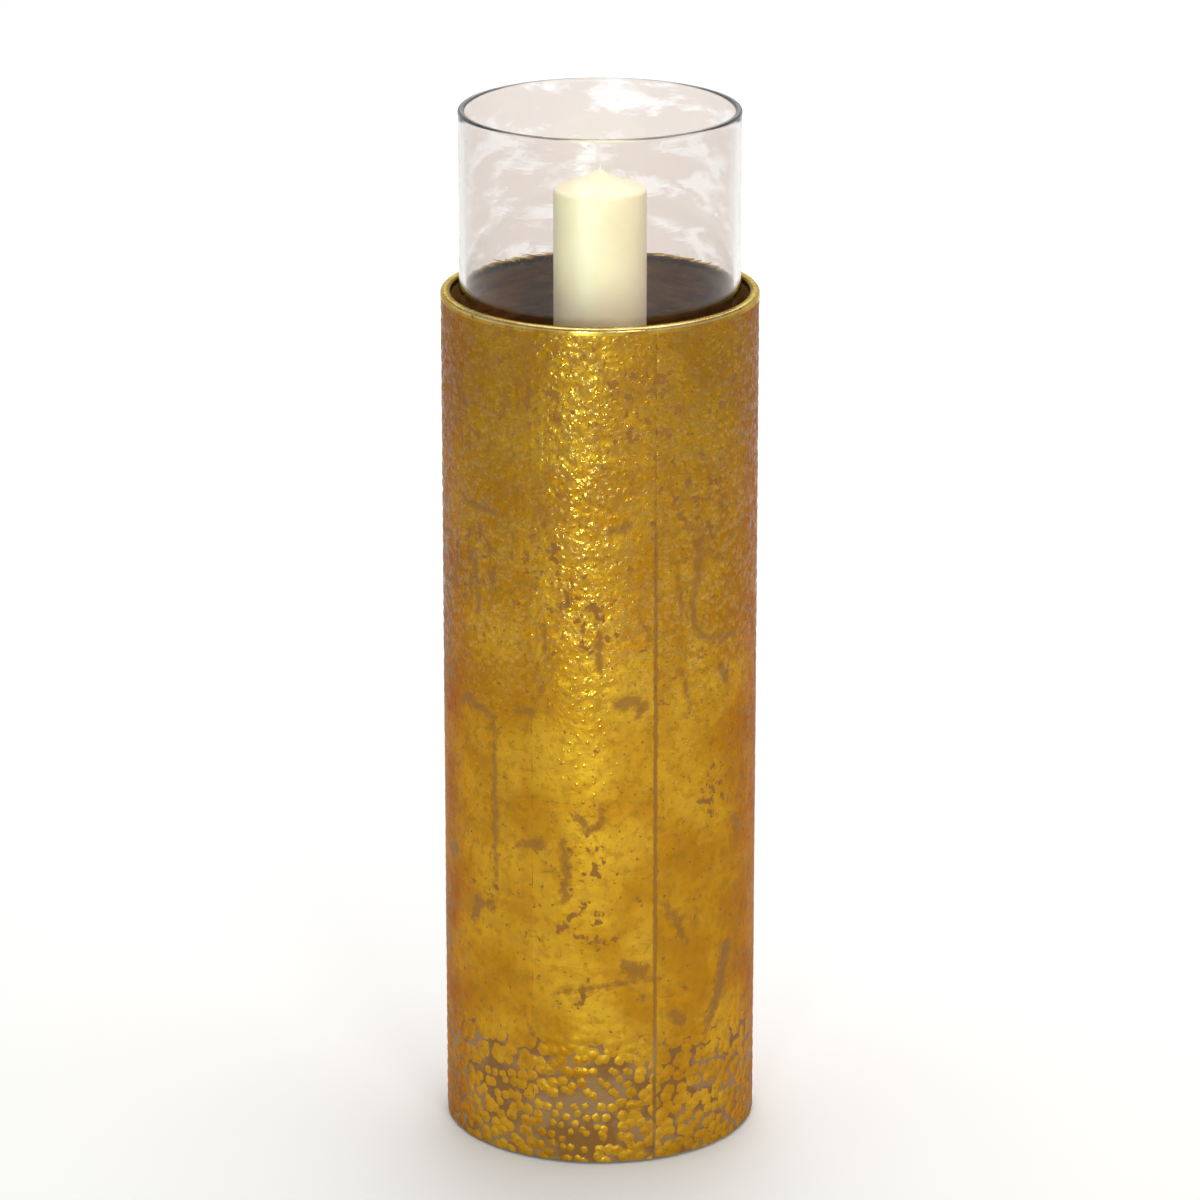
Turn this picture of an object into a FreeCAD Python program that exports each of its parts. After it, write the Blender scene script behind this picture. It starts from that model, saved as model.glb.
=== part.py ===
import FreeCAD, Part
import os
import re
import Sketcher

# Pillar candle holder: a hammered sheet-steel drum with a sunk well in its top, a loose glass
# cylinder standing in the well, and a pillar candle standing inside the glass.
# Frame: +Z up, origin on the ground under the middle of the drum, -Y is the front. Millimetres.

doc = FreeCAD.newDocument("pillar_candle_holder")

# ---------------------------------------------------------------- driving dimensions
DIMENSIONS = [
    ("drum_radius", 120.0, "outside of the drum, on the crests of the hammered face"),
    ("shell_thickness", 1.5, "drum sheet"),
    ("shell_bottom", 2.0, "drum's lower edge over the ground"),
    ("seam_width", 0.8, "open line along the drum's vertical seam"),
    ("seam_depth", 0.5, "depth of that line"),
    ("rim_top", 662.0, "top of the rim ring"),
    ("rim_height", 5.0, "rim ring"),
    ("rim_inner_radius", 112.5, "mouth of the well"),
    ("rim_outer_round", 2.6, "outer top edge of the rim ring"),
    ("rim_inner_round", 1.8, "inner top edge of the rim ring"),
    ("strap_thickness", 1.2, "strap behind the seam"),
    ("strap_sweep", 14.4, "arc that the strap covers, in degrees"),
    ("strap_bottom", 32.0, "lower end of the strap"),
    ("strap_top", 560.0, "upper end of the strap"),
    ("shelf_height", 600.0, "top of the well floor, where glass and candle stand"),
    ("floor_thickness", 2.5, "well floor disc"),
    ("disc_radius", 117.5, "well floor and base plate, loose inside the drum sheet"),
    ("well_thickness", 1.2, "sheet of the well wall"),
    ("angle_thickness", 3.0, "rolled angle of the brackets and of the base ring"),
    ("bracket_drop", 25.0, "upright leg of a bracket"),
    ("bracket_inner_radius", 84.0, "inner end of a bracket's flat leg"),
    ("bracket_sweep", 12.0, "arc that a bracket covers, in degrees"),
    ("screw_radius", 1.95, "M4 shank"),
    ("tapped_radius", 2.0, "tapped hole for M4"),
    ("clearance_radius", 2.2, "clearance hole for M4"),
    ("head_radius", 4.0, "screw heads, countersunk and pan"),
    ("countersink_depth", 2.0, "countersunk head"),
    ("well_screw_circle", 92.0, "circle of the well floor's screws"),
    ("well_screw_length", 9.0, "floor's face to the screw's end"),
    ("pan_head_height", 2.2, "base screw head"),
    ("base_screw_circle", 107.5, "circle of the base screws"),
    ("base_screw_length", 10.0, "base screw shank"),
    ("ring_height", 20.0, "upright leg of the base ring"),
    ("ring_inner_radius", 98.0, "inner edge of the base ring's flange"),
    ("plate_bottom", 5.0, "underside of the base plate"),
    ("plate_thickness", 2.0, "base plate"),
    ("nut_half_flat", 3.5, "weld nut, centre to a flat"),
    ("nut_height", 3.2, "weld nut"),
    ("pad_radius", 12.5, "rubber pad"),
    ("pad_edge", 1.2, "chamfer round a pad's lower face"),
    ("pad_circle", 84.0, "circle on which the pads stand"),
    ("glass_radius", 106.0, "outside of the glass cylinder"),
    ("glass_wall", 5.0, "glass cylinder"),
    ("glass_height", 200.0, "glass cylinder"),
    ("glass_round", 2.2, "fire-polished upper edges of the glass"),
    ("glass_foot_round", 1.0, "ground lower edges of the glass"),
    ("candle_radius", 35.0, "pillar candle"),
    ("candle_shoulder", 139.0, "straight side of the candle"),
    ("shoulder_round", 1.6, "rounding of the candle's shoulder"),
    ("cone_bend_radius", 17.0, "circle where the candle's cone turns steeper"),
    ("cone_bend_rise", 5.6, "height of that circle over the shoulder"),
    ("nipple_radius", 5.2, "small nipple round the wick"),
    ("nipple_root_rise", 11.6, "nipple's root over the shoulder"),
    ("nipple_rise", 14.0, "nipple's top over the shoulder"),
    ("nipple_round", 1.0, "rounding of the nipple's top edge"),
    ("wick_radius", 1.2, "wick"),
    ("wick_recess", 4.0, "lower end of the wick over the candle's base"),
    ("wick_length", 152.5, "whole wick"),
]

SEAM_AZIMUTH = -69.6
CORNER_AZIMUTHS = [45.0, 135.0, 225.0, 315.0]
WELL_SCREWS = 4
BASE_SCREWS = 6

sheet = doc.addObject("Spreadsheet::Sheet", "dims")
for row, (alias, number, meaning) in enumerate(DIMENSIONS, start=1):
    sheet.set("A%d" % row, alias)
    sheet.set("B%d" % row, str(number))
    sheet.set("C%d" % row, meaning)
    sheet.setAlias("B%d" % row, alias)
doc.recompute()

pieces = []


# ---------------------------------------------------------------- ways of making a piece
def bound(text):
    """An expression in the sheet's aliases, with the sheet's name put before each of them."""
    return re.sub(r"[a-z][a-z_]+", r"dims.\g<0>", text)


def number_of(text):
    """The number that an expression in the sheet's aliases stands for."""
    return float(sheet.evalExpression(bound(text)))


def origin_feature(body, role):
    """A plane or axis of the body's own origin, found by its role."""
    return next(f for f in body.Origin.OriginFeatures if f.Role == role)


def new_body(label, azimuth=0.0):
    """An empty body, turned about Z, that may come to hold several separate solids."""
    body = doc.addObject("PartDesign::Body", label)
    body.Label = label
    body.AllowCompound = True
    body.Placement = FreeCAD.Placement(
        FreeCAD.Vector(0, 0, 0), FreeCAD.Rotation(FreeCAD.Vector(0, 0, 1), azimuth)
    )
    pieces.append(body)
    return body


def new_sketch(body, name, role):
    """A sketch lying on one of the body's own origin planes."""
    sketch = body.newObject("Sketcher::SketchObject", body.Label + "_" + name)
    sketch.AttachmentSupport = [(origin_feature(body, role), "")]
    sketch.MapMode = "FlatFace"
    return sketch


def hold(sketch, geometry, point, direction, text):
    """Ties one coordinate of a point to an expression, or to the sketch's axis where it is 0."""
    if text == "0":
        axis = -2 if direction == "X" else -1
        sketch.addConstraint(Sketcher.Constraint("PointOnObject", geometry, point, axis))
        return
    kind = "Distance" + direction
    rule = Sketcher.Constraint(kind, -1, 1, geometry, point, number_of(text))
    index = sketch.addConstraint(rule)
    name = "%s%d_%d" % (direction, geometry, point)
    sketch.renameConstraint(index, name)
    sketch.setExpression("Constraints." + name, bound(text))


def draw_outline(sketch, corners):
    """A closed polygon through corners whose coordinates are expressions."""
    spots = [FreeCAD.Vector(number_of(x), number_of(y), 0) for x, y in corners]
    count = len(corners)
    for n in range(count):
        sketch.addGeometry(Part.LineSegment(spots[n], spots[(n + 1) % count]), False)
    for n in range(count):
        rule = Sketcher.Constraint("Coincident", n, 2, (n + 1) % count, 1)
        sketch.addConstraint(rule)
    for n, (x, y) in enumerate(corners):
        hold(sketch, n, 1, "X", x)
        hold(sketch, n, 1, "Y", y)


def draw_upright_axis(sketch, x, low, high):
    """A construction line at radius x, the sketch's Axis0, for pieces off the centre."""
    bottom = FreeCAD.Vector(number_of(x), number_of(low), 0)
    top = FreeCAD.Vector(number_of(x), number_of(high), 0)
    line = sketch.addGeometry(Part.LineSegment(bottom, top), True)
    for point, height in ((1, low), (2, high)):
        hold(sketch, line, point, "X", x)
        hold(sketch, line, point, "Y", height)


def turned(body, name, corners, sweep=None, kind="PartDesign::Revolution", centre=None):
    """Turns an outline of (radius, height) corners about Z, or about an upright axis at centre."""
    sketch = new_sketch(body, name + "_outline", "XZ_Plane")
    draw_outline(sketch, corners)
    axis = "V_Axis"
    if centre:
        draw_upright_axis(sketch, centre, corners[0][1], corners[-1][1])
        axis = "Axis0"
    turn = body.newObject(kind, body.Label + "_" + name)
    turn.Profile = sketch
    turn.ReferenceAxis = (sketch, [axis])
    turn.Angle = 360.0
    if sweep:
        turn.Midplane = True
        turn.setExpression("Angle", bound(sweep))
    return turn


def rounded(body, name, base, radius, spots):
    """Rounds the circular edges of base that lie at the given (radius, height) spots."""
    wanted = [(number_of(r), number_of(z)) for r, z in spots]
    doc.recompute()
    names = []
    for n, edge in enumerate(base.Shape.Edges, start=1):
        if not isinstance(edge.Curve, Part.Circle):
            continue
        size, height = edge.Curve.Radius, edge.Curve.Center.z
        if any(abs(size - r) + abs(height - z) < 1e-3 for r, z in wanted):
            names.append("Edge%d" % n)
    if len(names) != len(wanted):
        raise RuntimeError("%s: edges to round not found" % name)
    fillet = body.newObject("PartDesign::Fillet", body.Label + "_" + name)
    fillet.Base = (base, names)
    fillet.setExpression("Radius", bound(radius))
    return fillet


def around(body, feature, count):
    """Repeats a feature about Z and makes the pattern the body's tip."""
    pattern = body.newObject("PartDesign::PolarPattern", feature.Name + "_around")
    pattern.Originals = [feature]
    pattern.Axis = (origin_feature(body, "Z_Axis"), [""])
    pattern.Angle = 360.0
    pattern.Occurrences = count
    body.Tip = pattern
    return pattern


def cut_checked(body, make_cut):
    """Makes a cut and confirms that it has taken material away."""
    doc.recompute()
    before = body.Shape.Volume
    feature = make_cut()
    doc.recompute()
    if body.Shape.Volume > before - 1.0:
        raise RuntimeError("%s: a cut removed nothing" % body.Label)
    return feature


def bored(body, name, circle, radius, count):
    """Round holes right through the body, count of them on a circle about Z."""

    def make_cut():
        sketch = new_sketch(body, name + "_circle", "XY_Plane")
        middle = FreeCAD.Vector(number_of(circle), 0, 0)
        ring = Part.Circle(middle, FreeCAD.Vector(0, 0, 1), number_of(radius))
        sketch.addGeometry(ring, False)
        hold(sketch, 0, 3, "X", circle)
        hold(sketch, 0, 3, "Y", "0")
        size = sketch.addConstraint(Sketcher.Constraint("Radius", 0, number_of(radius)))
        sketch.renameConstraint(size, "size")
        sketch.setExpression("Constraints.size", bound(radius))
        pocket = body.newObject("PartDesign::Pocket", body.Label + "_" + name)
        pocket.Profile = sketch
        pocket.Type = "ThroughAll"
        pocket.Midplane = True
        return pocket if count == 1 else around(body, pocket, count)

    return cut_checked(body, make_cut)


def ring_outline(inner, outer, low, high):
    """The rectangle that a plain ring, tube or disc is turned from."""
    return [(inner, low), (outer, low), (outer, high), (inner, high)]


# ---------------------------------------------------------------- drum
SHEET_INSIDE = "drum_radius - shell_thickness"
RIM_UNDERSIDE = "rim_top - rim_height"
FLOOR_UNDERSIDE = "shelf_height - floor_thickness"

# Drum shell: sheet rolled into a tube, with the shallow open line of its butt seam.
drum_shell = new_body("drum_shell", SEAM_AZIMUTH)
turned(drum_shell, "tube", ring_outline(SHEET_INSIDE, "drum_radius", "shell_bottom", RIM_UNDERSIDE))


def cut_seam():
    """The seam's narrow line, down the whole height of the sheet."""
    sketch = new_sketch(drum_shell, "seam_outline", "XY_Plane")
    near, far = "drum_radius - seam_depth", "drum_radius + seam_depth"
    left, right = "-seam_width / 2", "seam_width / 2"
    draw_outline(sketch, [(near, left), (far, left), (far, right), (near, right)])
    pocket = drum_shell.newObject("PartDesign::Pocket", "drum_shell_seam")
    pocket.Profile = sketch
    pocket.Type = "ThroughAll"
    pocket.Midplane = True
    return pocket


cut_checked(drum_shell, cut_seam)

# Seam strap: a backing strip welded over the seam on the inside.
seam_strap = new_body("seam_strap", SEAM_AZIMUTH)
strap_inside = SHEET_INSIDE + " - strap_thickness"
strap_outline = ring_outline(strap_inside, SHEET_INSIDE, "strap_bottom", "strap_top")
turned(seam_strap, "strip", strap_outline, sweep="strap_sweep")

# Rim ring: a solid ring welded over the sheet's top edge, with its top edges rounded.
rim_ring = new_body("rim_ring")
rim_blank = turned(
    rim_ring, "ring", ring_outline("rim_inner_radius", "drum_radius", RIM_UNDERSIDE, "rim_top")
)
rim_half = rounded(
    rim_ring, "outer_round", rim_blank, "rim_outer_round", [("drum_radius", "rim_top")]
)
rounded(rim_ring, "inner_round", rim_half, "rim_inner_round", [("rim_inner_radius", "rim_top")])

# ---------------------------------------------------------------- well
# Well floor: a disc on four brackets, with countersunk holes for its screws.
well_floor = new_body("well_floor", CORNER_AZIMUTHS[0])
turned(well_floor, "disc", ring_outline("0", "disc_radius", FLOOR_UNDERSIDE, "shelf_height"))


def cut_countersinks():
    """The well screws' holes: a cone for the head, then a clearance hole."""
    at = "well_screw_circle"
    neck = at + " + clearance_radius"
    cone_end = "shelf_height - countersink_depth"
    corners = [
        (at, FLOOR_UNDERSIDE),
        (neck, FLOOR_UNDERSIDE),
        (neck, cone_end),
        (at + " + head_radius", "shelf_height"),
        (at, "shelf_height"),
    ]
    groove = turned(well_floor, "countersink", corners, kind="PartDesign::Groove", centre=at)
    return around(well_floor, groove, WELL_SCREWS)


cut_checked(well_floor, cut_countersinks)

# Well wall: a thin sleeve between the floor and the rim ring, flush with the ring's bore.
well_wall = new_body("well_wall")
wall_outside = "rim_inner_radius + well_thickness"
turned(well_wall, "sleeve", ring_outline("rim_inner_radius", wall_outside, "shelf_height", RIM_UNDERSIDE))

# Well brackets: short lengths of rolled angle welded inside the drum, tapped for the screws.
for number, azimuth in enumerate(CORNER_AZIMUTHS, start=1):
    bracket = new_body("well_bracket_%d" % number, azimuth)
    upright_inside = SHEET_INSIDE + " - angle_thickness"
    flat_underside = FLOOR_UNDERSIDE + " - angle_thickness"
    upright_bottom = FLOOR_UNDERSIDE + " - bracket_drop"
    corners = [
        ("bracket_inner_radius", FLOOR_UNDERSIDE),
        (SHEET_INSIDE, FLOOR_UNDERSIDE),
        (SHEET_INSIDE, upright_bottom),
        (upright_inside, upright_bottom),
        (upright_inside, flat_underside),
        ("bracket_inner_radius", flat_underside),
    ]
    turned(bracket, "angle", corners, sweep="bracket_sweep")
    bored(bracket, "tapping", "well_screw_circle", "tapped_radius", 1)

# Well screws: countersunk, from the floor down into the brackets.
well_screws = new_body("well_screws", CORNER_AZIMUTHS[0])
screw_at = "well_screw_circle"
head_bottom = "shelf_height - countersink_depth"
screw_end = "shelf_height - well_screw_length"
screw_corners = [
    (screw_at, screw_end),
    (screw_at + " + screw_radius", screw_end),
    (screw_at + " + screw_radius", head_bottom),
    (screw_at + " + head_radius", "shelf_height"),
    (screw_at, "shelf_height"),
]
well_screw = turned(well_screws, "screw", screw_corners, centre=screw_at)
around(well_screws, well_screw, WELL_SCREWS)

# ---------------------------------------------------------------- base
PLATE_TOP = "plate_bottom + plate_thickness"
FLANGE_TOP = PLATE_TOP + " + angle_thickness"

# Base ring: rolled angle welded inside the drum's lower edge, flange inwards.
base_ring = new_body("base_ring")
leg_inside = SHEET_INSIDE + " - angle_thickness"
leg_top = PLATE_TOP + " + ring_height"
ring_corners = [
    ("ring_inner_radius", PLATE_TOP),
    (SHEET_INSIDE, PLATE_TOP),
    (SHEET_INSIDE, leg_top),
    (leg_inside, leg_top),
    (leg_inside, FLANGE_TOP),
    ("ring_inner_radius", FLANGE_TOP),
]
turned(base_ring, "angle", ring_corners)
bored(base_ring, "holes", "base_screw_circle", "clearance_radius", BASE_SCREWS)

# Base plate: a disc screwed up against the base ring's flange.
base_plate = new_body("base_plate")
turned(base_plate, "disc", ring_outline("0", "disc_radius", "plate_bottom", PLATE_TOP))
bored(base_plate, "holes", "base_screw_circle", "clearance_radius", BASE_SCREWS)

# Base screws: pan heads under the plate, within its recess.
base_screws = new_body("base_screws")
base_at = "base_screw_circle"
pan_bottom = "plate_bottom - pan_head_height"
shank_top = "plate_bottom + base_screw_length"
base_screw_corners = [
    (base_at, pan_bottom),
    (base_at + " + head_radius", pan_bottom),
    (base_at + " + head_radius", "plate_bottom"),
    (base_at + " + screw_radius", "plate_bottom"),
    (base_at + " + screw_radius", shank_top),
    (base_at, shank_top),
]
base_screw = turned(base_screws, "screw", base_screw_corners, centre=base_at)
around(base_screws, base_screw, BASE_SCREWS)

# Weld nuts: square nuts welded on top of the flange.
weld_nuts = new_body("weld_nuts")
nut_sketch = new_sketch(weld_nuts, "outline", "XY_Plane")
nut_near = "base_screw_circle - nut_half_flat"
nut_far = "base_screw_circle + nut_half_flat"
nut_corners = [
    (nut_near, "-nut_half_flat"),
    (nut_far, "-nut_half_flat"),
    (nut_far, "nut_half_flat"),
    (nut_near, "nut_half_flat"),
]
draw_outline(nut_sketch, nut_corners)
nut_sketch.setExpression("AttachmentOffset.Base.z", bound(FLANGE_TOP))
nut = weld_nuts.newObject("PartDesign::Pad", "weld_nuts_block")
nut.Profile = nut_sketch
nut.setExpression("Length", bound("nut_height"))
around(weld_nuts, nut, BASE_SCREWS)
bored(weld_nuts, "tapping", "base_screw_circle", "tapped_radius", BASE_SCREWS)

# Foot pads: round rubber pads glued under the base plate, standing out below the drum's edge.
for number, azimuth in enumerate(CORNER_AZIMUTHS, start=1):
    pad = new_body("foot_pad_%d" % number, azimuth)
    pad_at = "pad_circle"
    pad_corners = [
        (pad_at, "0"),
        (pad_at + " + pad_radius - pad_edge", "0"),
        (pad_at + " + pad_radius", "pad_edge"),
        (pad_at + " + pad_radius", "plate_bottom"),
        (pad_at, "plate_bottom"),
    ]
    turned(pad, "block", pad_corners, centre=pad_at)

# ---------------------------------------------------------------- glass
# Glass cylinder: an open tube standing loose on the well floor, all four edges eased.
GLASS_INSIDE = "glass_radius - glass_wall"
GLASS_TOP = "shelf_height + glass_height"

glass = new_body("glass_cylinder")
glass_blank = turned(
    glass, "tube", ring_outline(GLASS_INSIDE, "glass_radius", "shelf_height", GLASS_TOP)
)
top_edges = [("glass_radius", GLASS_TOP), (GLASS_INSIDE, GLASS_TOP)]
foot_edges = [("glass_radius", "shelf_height"), (GLASS_INSIDE, "shelf_height")]
glass_half = rounded(glass, "top_round", glass_blank, "glass_round", top_edges)
rounded(glass, "foot_round", glass_half, "glass_foot_round", foot_edges)

# ---------------------------------------------------------------- candle
# Candle wax: a straight pillar with a low cone and a nipple, bored for the wick.
SHOULDER = "shelf_height + candle_shoulder"
NIPPLE_TOP = SHOULDER + " + nipple_rise"

candle_wax = new_body("candle_wax")
wax_corners = [
    ("wick_radius", "shelf_height"),
    ("candle_radius", "shelf_height"),
    ("candle_radius", SHOULDER),
    ("cone_bend_radius", SHOULDER + " + cone_bend_rise"),
    ("nipple_radius", SHOULDER + " + nipple_root_rise"),
    ("nipple_radius", NIPPLE_TOP),
    ("wick_radius", NIPPLE_TOP),
]
wax_blank = turned(candle_wax, "pillar", wax_corners)
wax_half = rounded(
    candle_wax, "shoulder_round", wax_blank, "shoulder_round", [("candle_radius", SHOULDER)]
)
rounded(candle_wax, "nipple_round", wax_half, "nipple_round", [("nipple_radius", NIPPLE_TOP)])

# Candle wick: a cord through the wax, its tip just clear of the nipple.
candle_wick = new_body("candle_wick")
wick_low = "shelf_height + wick_recess"
turned(candle_wick, "cord", ring_outline("0", "wick_radius", wick_low, wick_low + " + wick_length"))

# ---------------------------------------------------------------- checks and files
doc.recompute()
for thing in doc.Objects:
    if "Invalid" in thing.State or "Error" in thing.State:
        raise RuntimeError("%s failed: %s" % (thing.Label, thing.State))
for piece in pieces:
    if piece.Shape.isNull() or not piece.Shape.isValid() or not piece.Shape.Solids:
        raise RuntimeError("%s has no valid solid" % piece.Label)

os.makedirs("parts", exist_ok=True)
for piece in pieces:
    piece.Shape.exportStep("parts/%s.step" % piece.Label)
    box = piece.Shape.BoundBox
    solids = len(piece.Shape.Solids)
    print(
        "%-16s %2d solid(s) %9.1f mm3  z %.1f to %.1f  r %.1f"
        % (piece.Label, solids, piece.Shape.Volume, box.ZMin, box.ZMax, box.XMax)
    )
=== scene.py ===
import math

import bmesh
import bpy
import numpy as np
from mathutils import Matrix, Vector


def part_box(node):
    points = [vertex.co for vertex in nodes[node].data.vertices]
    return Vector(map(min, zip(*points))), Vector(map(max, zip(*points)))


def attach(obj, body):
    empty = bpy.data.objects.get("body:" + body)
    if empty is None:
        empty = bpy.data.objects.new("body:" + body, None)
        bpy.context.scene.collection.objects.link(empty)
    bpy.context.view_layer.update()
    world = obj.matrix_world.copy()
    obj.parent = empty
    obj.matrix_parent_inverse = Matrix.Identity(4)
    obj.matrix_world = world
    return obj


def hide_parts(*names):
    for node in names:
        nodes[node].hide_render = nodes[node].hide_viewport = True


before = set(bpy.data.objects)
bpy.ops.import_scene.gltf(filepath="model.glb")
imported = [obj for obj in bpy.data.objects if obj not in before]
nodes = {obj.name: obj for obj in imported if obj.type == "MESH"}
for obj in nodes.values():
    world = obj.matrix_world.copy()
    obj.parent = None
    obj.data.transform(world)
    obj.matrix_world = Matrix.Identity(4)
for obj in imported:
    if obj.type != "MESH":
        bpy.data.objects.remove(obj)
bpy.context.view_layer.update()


# ================================================================ inner steelwork
# Rolled angles, a seam strap and square nuts, all hot-rolled mild steel welded inside the drum
# before it is gilded. Nobody sees them once the base plate is on, so they keep a thin grey wash
# primer over mill scale. Their solids are already the right shape.
def linear(code):
    """An sRGB hex colour as linear red, green, blue and alpha."""
    parts = [int(code[i : i + 2], 16) / 255 for i in (1, 3, 5)]
    return [*(c / 12.92 if c <= 0.04045 else ((c + 0.055) / 1.055) ** 2.4 for c in parts), 1.0]


def feed(tree, node, values):
    """Sets a node's sockets, in order or by name; another node, or an output, is linked to its."""
    for socket, value in values.items() if isinstance(values, dict) else enumerate(values):
        if isinstance(value, bpy.types.Node):
            value = next(output for output in value.outputs if output.enabled)
        if isinstance(value, bpy.types.NodeSocket):
            tree.links.new(value, node.inputs[socket])
        else:
            node.inputs[socket].default_value = value


def add(tree, kind, values=(), **settings):
    """Adds a node: settings are its own properties, values are for its sockets, as in feed."""
    node = tree.nodes.new(kind)
    for name, value in settings.items():
        setattr(node, name, value)
    feed(tree, node, values)
    return node


MATH, RANGE, MIX = "ShaderNodeMath", "ShaderNodeMapRange", "ShaderNodeMix"
EASED, COLOUR = {"interpolation_type": "SMOOTHSTEP"}, {"data_type": "RGBA"}


def new_finish(name, surface):
    """A material whose Principled shader starts from the given socket values."""
    material = bpy.data.materials.new(name)
    material.use_nodes = True
    tree = material.node_tree
    shader = tree.nodes["Principled BSDF"]
    feed(tree, shader, surface)
    return material, tree, shader


def dress(name, material):
    """Gives a CAD node, whose shape stays, its finish."""
    for slot in nodes[name].material_slots:
        slot.material = material


SCALE_PATCH = 0.009
steel, tree, shader = new_finish(
    "primed_mill_steel", {"Metallic": 0.35, "Roughness": 0.55, "Base Color": linear("#5C5A57")}
)
place = add(tree, "ShaderNodeTexCoord").outputs["Object"]
patches = add(tree, "ShaderNodeTexNoise", {"Vector": place, "Scale": 1 / SCALE_PATCH, "Detail": 4.0})
scale = add(tree, RANGE, (patches, 0.42, 0.6), **EASED)
colour = add(tree, MIX, {0: scale, 6: linear("#4A4744"), 7: linear("#77736D")}, **COLOUR)
rough = add(tree, RANGE, (patches, 0.3, 0.7, 0.45, 0.65), **EASED)
feed(tree, shader, {"Base Color": colour, "Roughness": rough})

INNER_STEEL = ["seam_strap", "base_ring", "weld_nuts"]
INNER_STEEL += [n for n in sorted(nodes) if n.startswith("well_bracket")]
for name in INNER_STEEL:
    dress(name, steel)


# ================================================================ drum shell
# One sheet of steel, hammered all over from the inside into low pebble-like bumps, rolled into a
# tube and butt-welded down one side. Imitation gold leaf is laid on it in overlapping squares over
# a mauve-brown ground, rubbed through in places, and lacquered.
shell_low, shell_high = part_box("drum_shell")
DRUM_RADIUS = shell_high.x - 0.00005
DRUM_BOTTOM = shell_low.z
DRUM_HEIGHT = shell_high.z - shell_low.z
SHEET = 0.0015
GIRTH = 2 * math.pi * DRUM_RADIUS
SEAM_AZIMUTH = math.radians(-69.6)
BUMP_PITCH = 0.0087
BUMP_RANDOM = 0.80
SEAM_DEPTH = 0.00015
COLUMNS, ROWS = 330, 284


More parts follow.
